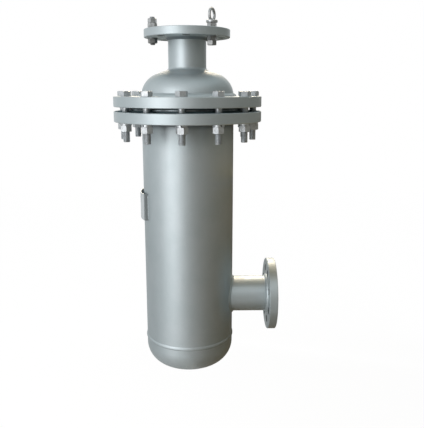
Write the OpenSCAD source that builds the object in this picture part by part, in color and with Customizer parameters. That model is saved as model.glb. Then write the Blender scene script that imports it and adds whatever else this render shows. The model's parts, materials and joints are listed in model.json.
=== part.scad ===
// Vertical baffle-type steam separator: a welded vessel with a bolted cover, a flanged inlet
// low on its side, a flanged outlet on top, and a pack of baffle plates that lifts out.
// The origin is the centre of the drain mouth. +Z runs up the vessel, +X points out of the inlet.

/* [Vessel] */
// Outside diameter of the shell
shell_od = 219; // [190:1:260]
// Wall of the shell and of the dished heads
wall = 6; // [4:0.5:9]
// Length of the shell, from the bottom seam to its top edge
shell_len = 562; // [500:1:760]
// Outer crown radius of the dished heads
head_crown_r = 190; // [175:1:230]
// Outer knuckle radius of the dished heads
head_knuckle_r = 55; // [40:1:64]
// Straight rim of the dished heads
head_rim = 20; // [14:1:40]

/* [Body flanges] */
// Thickness of a body flange under its raised face
body_flange_t = 24; // [18:1:36]
// Radial width of the raised face
body_face_w = 23.75; // [20:0.25:32]
// Height of the raised face
body_face_h = 3; // [1:0.5:5]
// Radial distance from the raised face to the bolt circle
body_bolt_out = 21; // [19:0.5:30]
// Radial distance from the bolt circle to the rim
body_rim_w = 20; // [17:0.5:32]
// Radial gap between a body flange and the pipe wall in its bore
body_slip = 0.75; // [0.25:0.25:1.5]

/* [Cover bolts] */
// Number of cover bolts
bolt_n = 12; // [8:4:16]
// Turn of the cover bolts away from the front
bolt_turn = -3.5; // [-15:0.5:15]
// Thread diameter of the cover bolts
bolt_d = 16; // [12:1:18]
// Length of the cover bolts under the head
bolt_len = 102; // [98:1:130]
// Width across flats of the bolt heads and nuts
bolt_af = 24; // [22:0.5:28]
// Height of the bolt heads
bolt_head_h = 12; // [7:0.5:14]
// Height of the cover nuts
bolt_nut_h = 14.8; // [10:0.2:18]
// Thickness of the spring washers
spring_washer_t = 5; // [2:0.5:6]
// Radial width of the spring washers
spring_washer_w = 4.75; // [3:0.25:6]
// Radial gap between a cover bolt and its hole
bolt_hole_gap = 1; // [0.5:0.25:2]

/* [Gasket] */
// Thickness of the sealing winding
winding_t = 4.5; // [3.5:0.25:6]
// Radial width of the sealing winding
winding_w = 12; // [8:0.5:14]
// Radial distance from the flange bore to the winding
winding_in = 6; // [3:0.5:9]
// Thickness of the outer ring
gasket_ring_t = 3; // [2:0.25:3.5]
// Radial gap between the outer ring and the cover bolts
gasket_bolt_gap = 2; // [1:0.5:4]

/* [Nozzles] */
// Outside diameter of the nozzle pipes
nozzle_od = 89; // [76:0.5:100]
// Wall of the nozzle pipes
nozzle_wall = 4.5; // [3:0.25:7]
// Diameter of the holes in the nozzle flanges
nozzle_hole_d = 18; // [14:0.5:20]
// Number of holes in a nozzle flange
nozzle_hole_n = 8; // [8:8:8]
// Height of the raised face of the nozzle flanges
nozzle_face_h = 2; // [1:0.5:3]
// Radial gap round a nozzle pipe where it passes through a flange or a wall
nozzle_slip = 0.5; // [0.25:0.25:1]

/* [Outlet] */
// Height of the outlet flange's rim above the cover flange
outlet_rise = 150; // [135:1:190]
// Thickness of the outlet flange under its raised face
outlet_flange_t = 18; // [14:1:26]
// Radial width of its raised face
outlet_face_w = 21; // [16:0.5:21.5]
// Radial distance from its raised face to the bolt circle
outlet_bolt_out = 14; // [13.5:0.5:20]
// Radial distance from its bolt circle to the rim
outlet_rim_w = 20; // [15:0.5:30]
// Length of the outlet pipe that stands inside the cover
outlet_inside = 6; // [2:1:12]

/* [Inlet] */
// Height of the inlet axis above the bottom seam
inlet_up = 103; // [85:1:125]
// Distance from the vessel axis to the inlet's sealing face
inlet_reach = 219; // [200:1:260]
// Thickness of the inlet flange under its raised face
inlet_flange_t = 20; // [14:1:26]
// Radial width of its raised face
inlet_face_w = 8; // [5:0.5:9]
// Radial distance from its raised face to the bolt circle
inlet_bolt_out = 12; // [10.5:0.5:18]
// Radial distance from its bolt circle to the rim
inlet_rim_w = 25; // [15:0.5:32]

/* [Drain] */
// Outside diameter of the drain socket
drain_od = 46; // [40:0.5:56]
// Diameter of the drain's threaded hole
drain_hole_d = 30.3; // [20:0.1:34]
// Length of the drain socket
drain_len = 26; // [20:1:40]
// Height of the lower head above the drain mouth
drain_stand = 10; // [8:0.5:14]

/* [Welds] */
// Leg of the fillets on the body flanges
body_weld = 7; // [4:0.5:9]
// Leg of the fillets behind the nozzle flanges and round the drain
nozzle_weld = 6; // [4:0.5:7]
// Leg of the fillets where the nozzles meet the vessel
neck_weld = 4; // [3:0.5:7]
// Set-back of a pipe's end behind the flange's sealing face
face_recess = 6; // [5:0.5:9]
// Leg of the fillets in those set-backs
face_weld = 5; // [3:0.5:5]
// Width of the bottom seam's cap
seam_w = 9; // [8:0.5:16]
// Height of the bottom seam's cap
seam_h = 1.4; // [0.8:0.1:3]

/* [Nameplate bracket] */
// Width of the bracket's plate
bracket_w = 89; // [70:1:110]
// Height of the bracket
bracket_h = 64; // [45:1:80]
// Sheet thickness of the bracket
bracket_t = 2; // [1.5:0.25:2.25]
// Gap between the plate and the shell
bracket_gap = 6.5; // [3:0.25:12]
// Height of the bracket's middle above the bottom seam
bracket_up = 341; // [250:1:400]
// Turn of the bracket from the side away from the inlet, towards the front
bracket_turn = 6; // [-20:0.5:40]
// Outer bend radius of the bracket
bracket_bend = 2.75; // [2.5:0.25:6]

/* [Lifting fittings] */
// Thread diameter of the eye bolt and the stud
lift_d = 12; // [8:1:14]
// Width across flats of their nuts
lift_af = 19; // [17:0.5:21]
// Height of their nuts
lift_nut_h = 10; // [6:0.5:12]
// Outside diameter of their washers
lift_washer_od = 24; // [22:0.5:27]
// Thickness of their flat washers
lift_washer_t = 2; // [1:0.25:3]
// Thickness of the stud's spring washer
lift_spring_t = 3; // [2:0.25:4]
// Length of the stud past its last nuts
lift_end = 3.5; // [1:0.5:8]
// Inside diameter of the eye
eye_hole_d = 20; // [16:0.5:30]
// Thickness of the eye's ring
eye_rod_d = 6.5; // [5:0.5:9]
// Diameter of the eye bolt's collar
eye_collar_d = 26; // [22:0.5:28]
// Height of the eye bolt's collar
eye_collar_h = 9; // [6:0.5:11]
// Turn of the eye about its shank
eye_turn = 65; // [0:5:180]

/* [Baffle pack] */
// Number of baffle plates
baffle_n = 6; // [3:1:6]
// Distance from the top plate to the top edge of the shell
pack_top_gap = 82.5; // [50:0.5:140]
// Thickness of the baffle plates
baffle_t = 4; // [3:0.5:6]
// Gap between the baffle plates and the shell
baffle_gap = 3.5; // [2:0.25:6]
// Depth of the segment cut from a plate
baffle_cut = 50; // [35:1:54]
// Height of the support ring above the inlet pipe
pack_up = 30; // [15:1:50]
// Thickness of the support ring
support_ring_t = 8; // [5:1:14]
// Radial width of the support ring
support_ring_w = 15; // [10:1:17]
// Diameter of the tie rods
tie_d = 10; // [8:0.5:12]
// Angle of the tie rods from the inlet's direction
tie_turn = 65; // [60:1:75]
// Gap between the tie rod nuts and the support ring
tie_ring_gap = 6; // [3:0.5:16]
// Wall of the spacer tubes
spacer_wall = 3; // [2:0.5:4]
// Radial gap between a tie rod and what slides over it
tie_gap = 0.25; // [0.1:0.05:0.5]
// Width across flats of the tie rod nuts
tie_af = 17; // [15:0.5:19]
// Height of the tie rod nuts
tie_nut_h = 8; // [6:0.5:11]
// Length of a tie rod past its nuts
tie_end = 4; // [2:0.5:10]
// Distance from the vessel axis to the impingement plate
impinge_x = 55; // [40:1:70]
// Height of the impingement plate
impinge_h = 130; // [100:1:140]
// Thickness of the impingement plate
impinge_t = 5; // [3:0.5:8]

/* [Hidden] */
$fn = 96;
// gap left between welded-in pieces so that their curved faces never cross
weld_fit = 0.1;
// gap in a nut's thread, and between two nuts locked on each other
thread_fit = 0.05;
// reach of cutting tools past the faces they cut
over = 1;
// edge break on turned rims
edge = 1;
// root face and root gap of the bottom seam's groove, and the slope of its sides
seam_root = 1.5;
seam_root_gap = 0.5;
seam_slope = 30;
// stations round the saddle-shaped weld, and steps round the large crown circle
saddle_steps = 72;
crown_steps = 720;
// how far the middle of a fillet weld stands out, as a share of its leg
weld_swell = 0.6;
// width of the split in a spring washer, its lean, and the gap round the bolt
spring_split = 2.5;
spring_lean = 25;
spring_gap = 0.25;
// share of a hexagon's corner height that is turned down, and of a rod's diameter at its ends
hex_turned = 0.6;
rod_turned = 0.1;
// direction of the front, from which the cover bolts are counted
front = -90;
// turn of a lock nut against its neighbour
lock_turn = 20;
// turn of the first cover bolt's head and of its nut, and how the turns run on, unevenly, to the others
head_turn = 50.5;
head_turn_step = 21.8;
nut_turn = 22.5;
nut_turn_step = -4.2;
turn_growth = 12.9;

shell_r = shell_od / 2;
shell_ri = shell_r - wall;
nozzle_r = nozzle_od / 2;
nozzle_ri = nozzle_r - nozzle_wall;
nozzle_bore_r = nozzle_r + nozzle_slip;
nozzle_face_weld = min(face_weld, nozzle_wall);
drain_r = drain_od / 2;

// dished head: depth from its straight rim to the crown, and where crown and knuckle meet
knuckle_x = shell_r - head_knuckle_r;
crown_drop = sqrt(pow(head_crown_r - head_knuckle_r, 2) - pow(knuckle_x, 2));
head_h = head_crown_r - crown_drop;
crown_end_x = knuckle_x * head_crown_r / (head_crown_r - head_knuckle_r);

// levels up the vessel
bottom_tangent_z = drain_stand + head_h;
seam_z = bottom_tangent_z + head_rim;
shell_top_z = seam_z + shell_len;
body_face_z = shell_top_z + face_recess;
body_rim_z = body_face_z - body_face_h;
body_back_z = body_rim_z - body_flange_t;
cover_face_z = body_face_z + winding_t;
cover_rim_z = cover_face_z + body_face_h;
cover_top_z = cover_rim_z + body_flange_t;
cover_edge_z = cover_face_z + face_recess;
cover_tangent_z = cover_edge_z + head_rim;
outlet_rim_z = cover_top_z + outlet_rise;
outlet_face_z = outlet_rim_z + nozzle_face_h;
outlet_back_z = outlet_rim_z - outlet_flange_t;
outlet_foot_z = crown_z(cover_tangent_z, nozzle_r) - wall - outlet_inside;
inlet_z = seam_z + inlet_up;
inlet_rim_x = inlet_reach - nozzle_face_h;
inlet_back_x = inlet_rim_x - inlet_flange_t;
bracket_z = seam_z + bracket_up;

// body flange radii
body_bore_r = shell_r + body_slip;
body_face_r = body_bore_r + body_face_w;
body_bolt_r = body_face_r + body_bolt_out;
body_rim_r = body_bolt_r + body_rim_w;
bolt_hole_d = bolt_d + 2 * bolt_hole_gap;
first_bolt = front + bolt_turn;
winding_ri = body_bore_r + winding_in;
winding_r = winding_ri + winding_w;
gasket_ring_r = body_bolt_r - bolt_d / 2 - gasket_bolt_gap;

// nozzle flange radii
outlet_face_r = nozzle_bore_r + outlet_face_w;
outlet_bolt_r = outlet_face_r + outlet_bolt_out;
outlet_rim_r = outlet_bolt_r + outlet_rim_w;
inlet_face_r = nozzle_bore_r + inlet_face_w;
inlet_bolt_r = inlet_face_r + inlet_bolt_out;
inlet_rim_r = inlet_bolt_r + inlet_rim_w;
hole_step = 360 / nozzle_hole_n;

// lifting fittings: the eye bolt is front right, the stud on the side away from the inlet
eye_angle = -hole_step;
stud_angle = 180;
lift_nut_step = lift_nut_h + thread_fit;
stud_washers_h = lift_washer_t + lift_spring_t;
stud_top_z = outlet_rim_z + stud_washers_h + 2 * lift_nut_step + lift_end;
stud_foot_z = outlet_back_z - lift_washer_t - lift_nut_step - lift_end;
eye_foot_z = outlet_back_z - 2 * lift_nut_step;
eye_seat_z = outlet_rim_z + lift_nut_h;
eye_ring_r = (eye_hole_d + eye_rod_d) / 2;
eye_centre_h = eye_ring_r + eye_rod_d / 2;

// baffle pack levels
support_z = inlet_z + nozzle_r + pack_up;
pack_z = support_z + support_ring_t;
pack_top_z = shell_top_z - pack_top_gap;
baffle_pitch = (pack_top_z - baffle_t - pack_z) / (baffle_n - 1);
baffle_r = shell_ri - baffle_gap;
tie_r = shell_ri - support_ring_w - tie_af / sqrt(3) - tie_ring_gap;
tie_len = pack_top_z - pack_z + 2 * (tie_nut_h + tie_end);
spacer_ri = tie_d / 2 + tie_gap;

PAINT = "#b3b7b8";
BEAD = "#bfc3c4";
ZINC = "#c8ccd0";
GASKET = "#8f9497";
INNER = "#8c8f90";

// height of a dished head's outer crown at radius r, for a head with its rim at z
function crown_z(z, r) = z - crown_drop + sqrt(pow(head_crown_r, 2) - pow(r, 2));

// turn at which hexagon i of the cover bolts stopped when it was tightened
function stopped_at(turn, step, i) = turn + i * (step + i * turn_growth);

// half section of a dished head, rim at zero, drawn inset from its outer face
module dish_section(inset) {
    intersection() {
        translate([0, -crown_drop]) circle(r = head_crown_r - inset, $fn = crown_steps);
        square([crown_end_x, head_crown_r]);
    }
    intersection() {
        translate([knuckle_x, 0]) circle(r = head_knuckle_r - inset);
        translate([knuckle_x, 0]) square([head_knuckle_r, head_knuckle_r]);
    }
    square([knuckle_x, head_knuckle_r - inset]);
}

// dished head standing on a straight rim, its edge at zero
module dished_head() {
    translate([0, 0, head_rim]) rotate_extrude() difference() {
        dish_section(0);
        dish_section(wall);
    }
    difference() {
        cylinder(h = head_rim, r = shell_r);
        translate([0, 0, -over]) cylinder(h = head_rim + 2 * over, r = shell_ri);
    }
}

// fillet weld in the corner of a wall at radius r and a face at zero; side is +1 for a weld above
// the face and -1 for one below it
module fillet_ring(r, leg, side) {
    rotate_extrude() polygon([
        [r, 0], [r + leg, 0],
        [r + weld_swell * leg, side * weld_swell * leg],
        [r, side * leg]]);
}

// fillet weld inside a bore of radius r, standing on a pipe's end at zero
module face_ring(r, leg) {
    rotate_extrude() polygon([
        [r - leg, 0], [r, 0], [r, leg],
        [r - weld_swell * leg, weld_swell * leg]]);
}

// slip-on plate flange, back at zero, raised face up
module plate_flange(bore_r, rim_r, t, face_r, face_h, bolt_r, hole_d, n, turn) {
    difference() {
        rotate_extrude() polygon([
            [bore_r, 0], [rim_r - edge, 0], [rim_r, edge], [rim_r, t - edge], [rim_r - edge, t],
            [face_r, t], [face_r, t + face_h], [bore_r, t + face_h]]);
        for (i = [0:n - 1]) rotate([0, 0, turn + i * 360 / n])
            translate([bolt_r, 0, -over]) cylinder(h = t + 2 * over, d = hole_d);
    }
}

// hexagonal prism with its corners turned down at both ends or at the top only
module hex_body(af, h, both_ends) {
    corner = af / sqrt(3);
    turned = (corner - af / 2) * hex_turned;
    intersection() {
        cylinder(h = h, r = corner, $fn = 6);
        rotate_extrude() polygon([
            [0, 0], [both_ends ? corner - 2 * turned : corner, 0], [corner, both_ends ? turned : 0],
            [corner, h - turned], [corner - 2 * turned, h], [0, h]]);
    }
}

module hex_nut(d, af, h) {
    difference() {
        hex_body(af, h, true);
        translate([0, 0, -over]) cylinder(h = h + 2 * over, r = d / 2 + thread_fit);
    }
}

// plain rod with turned ends, foot at zero
module rod(d, len) {
    point = d * rod_turned;
    rotate_extrude() polygon([
        [0, 0], [d / 2 - point, 0], [d / 2, point], [d / 2, len - point], [d / 2 - point, len], [0, len]]);
}

module washer(d, od, t) {
    difference() {
        cylinder(h = t, d = od);
        translate([0, 0, -over]) cylinder(h = t + 2 * over, r = d / 2 + thread_fit);
    }
}

// spring washer with a leaning split
module split_washer(d, w, t) {
    hole_r = d / 2 + spring_gap;
    difference() {
        cylinder(h = t, r = hole_r + w);
        translate([0, 0, -over]) cylinder(h = t + 2 * over, r = hole_r);
        translate([d, 0, t / 2]) rotate([spring_lean, 0, 0])
            cube([2 * d, spring_split, 4 * t], center = true);
    }
}

module at_cover_bolt(i) {
    rotate([0, 0, first_bolt + i * 360 / bolt_n]) translate([body_bolt_r, 0, 0]) children();
}

module at_outlet_hole(angle) {
    rotate([0, 0, angle]) translate([outlet_bolt_r, 0, 0]) children();
}

module at_tie_rods() {
    for (angle = [tie_turn, 180 - tie_turn, 180 + tie_turn, -tie_turn])
        rotate([0, 0, angle]) translate([tie_r, 0, 0]) children();
}

// turns what stands on zero, up +Z, to stand on the inlet's axis, out +X
module along_inlet(x) {
    translate([x, 0, inlet_z]) rotate([0, 90, 0]) children();
}

module shell() {
    groove = seam_root_gap + (wall - seam_root) * tan(seam_slope);
    color(PAINT) difference() {
        rotate_extrude() polygon([
            [shell_ri, seam_z + seam_root_gap], [shell_ri + seam_root, seam_z + seam_root_gap],
            [shell_r, seam_z + groove], [shell_r, shell_top_z], [shell_ri, shell_top_z]]);
        along_inlet(0) cylinder(h = shell_od, r = nozzle_bore_r);
    }
}

module bottom_head() {
    groove = seam_root_gap + (wall - seam_root) * tan(seam_slope);
    color(PAINT) difference() {
        translate([0, 0, seam_z]) mirror([0, 0, 1]) dished_head();
        rotate_extrude() polygon([
            [shell_ri - over, seam_z - seam_root_gap], [shell_ri + seam_root, seam_z - seam_root_gap],
            [shell_r, seam_z - groove], [shell_r + over, seam_z - groove],
            [shell_r + over, seam_z + over], [shell_ri - over, seam_z + over]]);
        cylinder(h = bottom_tangent_z, r = drain_r + nozzle_slip);
    }
}

// V-shaped seam between shell and lower head with a rounded cap outside
module bottom_seam_weld() {
    groove = seam_root_gap + (wall - seam_root) * tan(seam_slope);
    cap_r = (pow(seam_w / 2, 2) + pow(seam_h, 2)) / (2 * seam_h);
    color(BEAD) translate([0, 0, seam_z]) rotate_extrude() {
        polygon([
            [shell_ri, -seam_root_gap], [shell_ri + seam_root, -seam_root_gap], [shell_r, -groove],
            [shell_r, groove], [shell_ri + seam_root, seam_root_gap], [shell_ri, seam_root_gap]]);
        intersection() {
            translate([shell_r + seam_h - cap_r, 0]) circle(r = cap_r);
            translate([shell_r, -seam_w]) square([seam_w, 2 * seam_w]);
        }
    }
}

module drain_socket() {
    color(PAINT) difference() {
        rotate_extrude() polygon([
            [0, 0], [drain_r - edge, 0], [drain_r, edge], [drain_r, drain_len], [0, drain_len]]);
        translate([0, 0, -over]) cylinder(h = drain_len + 2 * over, d = drain_hole_d);
    }
}

module drain_socket_weld() {
    crown_centre_z = drain_stand + head_crown_r;
    foot_z = crown_centre_z - sqrt(pow(head_crown_r, 2) - pow(drain_r, 2));
    color(BEAD) rotate_extrude() difference() {
        translate([0, foot_z]) polygon([
            [drain_r, nozzle_weld], [drain_r + nozzle_weld, nozzle_weld], [drain_r + nozzle_weld, 0],
            [drain_r + weld_swell * nozzle_weld, -weld_swell * nozzle_weld],
            [drain_r, -nozzle_weld]]);
        translate([0, crown_centre_z]) circle(r = head_crown_r, $fn = crown_steps);
    }
}

module body_flange() {
    color(PAINT) translate([0, 0, body_back_z]) plate_flange(
        body_bore_r, body_rim_r, body_flange_t, body_face_r, body_face_h,
        body_bolt_r, bolt_hole_d, bolt_n, first_bolt);
}

module body_flange_outer_weld() {
    color(BEAD) translate([0, 0, body_back_z]) fillet_ring(shell_r, body_weld, -1);
}

module body_flange_face_weld() {
    color(BEAD) translate([0, 0, shell_top_z]) face_ring(body_bore_r, face_weld);
}

module cover_flange() {
    color(PAINT) translate([0, 0, cover_top_z]) mirror([0, 0, 1]) plate_flange(
        body_bore_r, body_rim_r, body_flange_t, body_face_r, body_face_h,
        body_bolt_r, bolt_hole_d, bolt_n, first_bolt);
}

// the cover's fillet follows the knuckle, which starts just below the flange's top
module cover_flange_outer_weld() {
    color(BEAD) rotate_extrude() difference() {
        translate([0, cover_top_z]) polygon([
            [shell_r - body_weld, 0], [shell_r + body_weld, 0],
            [shell_r + weld_swell * body_weld, weld_swell * body_weld],
            [shell_r, body_weld], [shell_r - body_weld, body_weld]]);
        translate([0, cover_tangent_z]) dish_section(0);
        translate([0, cover_edge_z]) square([shell_r, head_rim]);
    }
}

module cover_flange_face_weld() {
    color(BEAD) translate([0, 0, cover_edge_z]) mirror([0, 0, 1]) face_ring(body_bore_r, face_weld);
}

module cover_head() {
    color(PAINT) difference() {
        translate([0, 0, cover_edge_z]) dished_head();
        translate([0, 0, cover_tangent_z]) cylinder(h = 2 * head_h, r = nozzle_bore_r);
    }
}

module gasket_ring() {
    color(GASKET) translate([0, 0, body_face_z + (winding_t - gasket_ring_t) / 2]) difference() {
        cylinder(h = gasket_ring_t, r = gasket_ring_r);
        translate([0, 0, -over]) cylinder(h = gasket_ring_t + 2 * over, r = winding_r);
    }
}

module gasket_winding() {
    color(GASKET) translate([0, 0, body_face_z]) difference() {
        cylinder(h = winding_t, r = winding_r);
        translate([0, 0, -over]) cylinder(h = winding_t + 2 * over, r = winding_ri);
    }
}

module body_bolts() {
    color(ZINC) translate([0, 0, cover_top_z]) for (i = [0:bolt_n - 1]) at_cover_bolt(i) {
        rotate([0, 0, stopped_at(head_turn, head_turn_step, i)]) hex_body(bolt_af, bolt_head_h, false);
        mirror([0, 0, 1]) rod(bolt_d, bolt_len);
    }
}

module body_spring_washers() {
    color(ZINC) translate([0, 0, body_back_z - spring_washer_t]) for (i = [0:bolt_n - 1]) at_cover_bolt(i)
        split_washer(bolt_d, spring_washer_w, spring_washer_t);
}

module body_nuts() {
    nut_z = body_back_z - spring_washer_t - bolt_nut_h;
    color(ZINC) translate([0, 0, nut_z]) for (i = [0:bolt_n - 1]) at_cover_bolt(i)
        rotate([0, 0, stopped_at(nut_turn, nut_turn_step, i)]) hex_nut(bolt_d, bolt_af, bolt_nut_h);
}

module outlet_pipe() {
    top_z = outlet_face_z - face_recess;
    color(PAINT) translate([0, 0, outlet_foot_z]) difference() {
        cylinder(h = top_z - outlet_foot_z, r = nozzle_r);
        translate([0, 0, -over]) cylinder(h = top_z - outlet_foot_z + 2 * over, r = nozzle_ri);
    }
}

module outlet_pipe_weld() {
    foot_z = crown_z(cover_tangent_z, nozzle_r);
    color(BEAD) rotate_extrude() difference() {
        translate([0, foot_z]) polygon([
            [nozzle_r, -neck_weld], [nozzle_r + neck_weld, -neck_weld], [nozzle_r + neck_weld, 0],
            [nozzle_r + weld_swell * neck_weld, weld_swell * neck_weld],
            [nozzle_r, neck_weld]]);
        translate([0, cover_tangent_z - crown_drop]) circle(r = head_crown_r, $fn = crown_steps);
    }
}

module outlet_flange() {
    color(PAINT) translate([0, 0, outlet_back_z]) plate_flange(
        nozzle_bore_r, outlet_rim_r, outlet_flange_t, outlet_face_r, nozzle_face_h,
        outlet_bolt_r, nozzle_hole_d, nozzle_hole_n, 0);
}

module outlet_flange_back_weld() {
    color(BEAD) translate([0, 0, outlet_back_z]) fillet_ring(nozzle_r, nozzle_weld, -1);
}

module outlet_flange_face_weld() {
    color(BEAD) translate([0, 0, outlet_face_z - face_recess]) face_ring(nozzle_bore_r, nozzle_face_weld);
}

// the inner end of the inlet pipe follows the bore of the shell
module inlet_pipe() {
    end_x = inlet_reach - face_recess;
    color(PAINT) difference() {
        along_inlet(0) cylinder(h = end_x, r = nozzle_r);
        along_inlet(-over) cylinder(h = end_x + 2 * over, r = nozzle_ri);
        translate([0, 0, inlet_z - nozzle_od]) cylinder(h = 2 * nozzle_od, r = shell_ri);
    }
}

// saddle-shaped fillet where the inlet pipe meets the shell
module inlet_pipe_weld() {
    in_r = nozzle_r + weld_fit;
    swell = weld_swell * neck_weld;
    function on_shell(r, a) = sqrt(pow(shell_r, 2) - pow(r * cos(a), 2)) + weld_fit;
    function at(r, a, out) = [on_shell(r, a) + out, r * cos(a), inlet_z + r * sin(a)];
    rings = [for (i = [0:saddle_steps - 1]) let (a = i * 360 / saddle_steps) [
        at(in_r, a, 0), at(in_r + neck_weld, a, 0), at(in_r + swell, a, swell), at(in_r, a, neck_weld)]];
    sides = len(rings[0]);
    faces = [for (i = [0:saddle_steps - 1], k = [0:sides - 1])
        let (j = (i + 1) % saddle_steps, m = (k + 1) % sides)
        [i * sides + k, j * sides + k, j * sides + m, i * sides + m]];
    color(BEAD) polyhedron([for (ring = rings) for (p = ring) p], faces, convexity = 6);
}

module inlet_flange() {
    color(PAINT) along_inlet(inlet_back_x) plate_flange(
        nozzle_bore_r, inlet_rim_r, inlet_flange_t, inlet_face_r, nozzle_face_h,
        inlet_bolt_r, nozzle_hole_d, nozzle_hole_n, hole_step / 2);
}

module inlet_flange_back_weld() {
    color(BEAD) along_inlet(inlet_back_x) fillet_ring(nozzle_r, nozzle_weld, -1);
}

module inlet_flange_face_weld() {
    color(BEAD) along_inlet(inlet_reach - face_recess) face_ring(nozzle_bore_r, nozzle_face_weld);
}

// sheet rolled to follow the shell, its two ends bent back and trimmed to the shell
module nameplate_bracket() {
    plate_r = shell_r + bracket_gap + bracket_t;
    module outline(inset) {
        r = plate_r - inset;
        half = bracket_w / 2 - inset;
        bend = bracket_bend - inset;
        corner = [sqrt(pow(r - bend, 2) - pow(half - bend, 2)), half - bend];
        intersection() {
            circle(r = r, $fn = crown_steps);
            polygon([[0, 0], [2 * corner.x, -2 * corner.y], [2 * corner.x, 2 * corner.y]]);
        }
        translate([0, -half]) square([corner.x, 2 * half]);
        for (side = [-1, 1]) translate([corner.x, side * corner.y]) circle(r = bend);
    }
    color(PAINT) translate([0, 0, bracket_z - bracket_h / 2]) difference() {
        rotate([0, 0, 180 + bracket_turn]) linear_extrude(bracket_h) difference() {
            outline(0);
            outline(bracket_t);
        }
        translate([0, 0, -over]) cylinder(h = bracket_h + 2 * over, r = shell_r + weld_fit);
    }
}

// shouldered eye bolt, its collar on a nut
module lifting_eye_bolt() {
    color(ZINC) translate([0, 0, eye_seat_z]) at_outlet_hole(eye_angle) {
        translate([0, 0, eye_centre_h]) rotate([90, 0, eye_turn - eye_angle])
            rotate_extrude() translate([eye_ring_r, 0]) circle(d = eye_rod_d);
        rotate_extrude() polygon([
            [0, 0], [eye_collar_d / 2, 0], [eye_collar_d / 2, eye_collar_h / 2],
            [eye_rod_d / 2, eye_collar_h], [0, eye_collar_h]]);
        mirror([0, 0, 1]) rod(lift_d, eye_seat_z - eye_foot_z);
    }
}

// stud with two nuts above the outlet flange and one below it
module flange_stud() {
    color(ZINC) translate([0, 0, stud_foot_z]) at_outlet_hole(stud_angle)
        rod(lift_d, stud_top_z - stud_foot_z);
}

// the stud's three nuts, then the eye bolt's nut above the flange and its two below
module lifting_nuts() {
    module nut() hex_nut(lift_d, lift_af, lift_nut_h);
    module pair() {
        nut();
        translate([0, 0, lift_nut_step]) rotate([0, 0, lock_turn]) nut();
    }
    color(ZINC) {
        at_outlet_hole(stud_angle) {
            translate([0, 0, outlet_rim_z + stud_washers_h]) pair();
            translate([0, 0, outlet_back_z - lift_washer_t - lift_nut_h]) nut();
        }
        at_outlet_hole(eye_angle) {
            translate([0, 0, outlet_rim_z]) nut();
            translate([0, 0, outlet_back_z]) mirror([0, 0, 1]) pair();
        }
    }
}

// the stud's washers: a flat one on each side of the flange, a split one under the upper nuts
module lifting_washers() {
    color(ZINC) at_outlet_hole(stud_angle) {
        for (z = [outlet_rim_z, outlet_back_z - lift_washer_t]) translate([0, 0, z])
            washer(lift_d, lift_washer_od, lift_washer_t);
        translate([0, 0, outlet_rim_z + lift_washer_t + thread_fit])
            split_washer(lift_d, spring_washer_w, lift_spring_t - thread_fit);
    }
}

module support_ring() {
    color(INNER) translate([0, 0, support_z]) difference() {
        cylinder(h = support_ring_t, r = shell_ri - weld_fit);
        translate([0, 0, -over]) cylinder(h = support_ring_t + 2 * over, r = shell_ri - support_ring_w);
    }
}

// flat plate across the shell, its two upright edges on the bore, facing the inlet
module impingement_plate() {
    color(INNER) translate([0, 0, inlet_z - impinge_h / 2]) intersection() {
        translate([impinge_x, -shell_r, 0]) cube([impinge_t, shell_od, impinge_h]);
        cylinder(h = impinge_h, r = shell_ri - weld_fit);
    }
}

// disc with one side cut straight; odd plates are open towards the inlet, even ones away from it
module baffle_plate(i) {
    color(INNER) translate([0, 0, pack_z + (i - 1) * baffle_pitch]) difference() {
        cylinder(h = baffle_t, r = baffle_r);
        mirror([i % 2 == 0 ? 1 : 0, 0, 0]) translate([baffle_r - baffle_cut, -shell_r, -over])
            cube([shell_od, shell_od, baffle_t + 2 * over]);
        at_tie_rods() translate([0, 0, -over]) cylinder(h = baffle_t + 2 * over, r = tie_d / 2 + tie_gap);
    }
}

module tie_rods() {
    color(INNER) translate([0, 0, pack_z - tie_nut_h - tie_end]) at_tie_rods() rod(tie_d, tie_len);
}

module baffle_spacers() {
    len = baffle_pitch - baffle_t;
    color(INNER) for (i = [0:baffle_n - 2]) translate([0, 0, pack_z + baffle_t + i * baffle_pitch])
        at_tie_rods() difference() {
            cylinder(h = len, r = spacer_ri + spacer_wall);
            translate([0, 0, -over]) cylinder(h = len + 2 * over, r = spacer_ri);
        }
}

module tie_rod_nuts() {
    color(INNER) for (z = [pack_z - tie_nut_h, pack_top_z]) translate([0, 0, z])
        at_tie_rods() hex_nut(tie_d, tie_af, tie_nut_h);
}

shell();
bottom_head();
bottom_seam_weld();
drain_socket();
drain_socket_weld();
body_flange();
body_flange_outer_weld();
body_flange_face_weld();
cover_flange();
cover_flange_outer_weld();
cover_flange_face_weld();
cover_head();
gasket_ring();
gasket_winding();
body_bolts();
body_spring_washers();
body_nuts();
outlet_pipe();
outlet_pipe_weld();
outlet_flange();
outlet_flange_back_weld();
outlet_flange_face_weld();
inlet_pipe();
inlet_pipe_weld();
inlet_flange();
inlet_flange_back_weld();
inlet_flange_face_weld();
nameplate_bracket();
lifting_eye_bolt();
flange_stud();
lifting_nuts();
lifting_washers();
support_ring();
impingement_plate();
tie_rods();
baffle_spacers();
tie_rod_nuts();
for (i = [1:baffle_n]) baffle_plate(i);
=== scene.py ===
"""Looks of an upright steam separator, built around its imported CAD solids.

The vessel, its flanges and its baffle pack stay as the CAD solids and get painted or bare metal
finishes. Welds, threads, the forged eye and the tapped drain are modelled here in finer detail and
stand for their plain CAD solids. The thin beads along the bracket's legs are made here alone.
"""

from __future__ import annotations

import json
import logging
import math
from dataclasses import dataclass
from enum import Enum, IntEnum
from typing import Any, Sequence

import bpy
import numpy as np
from mathutils import Matrix, Vector


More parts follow.
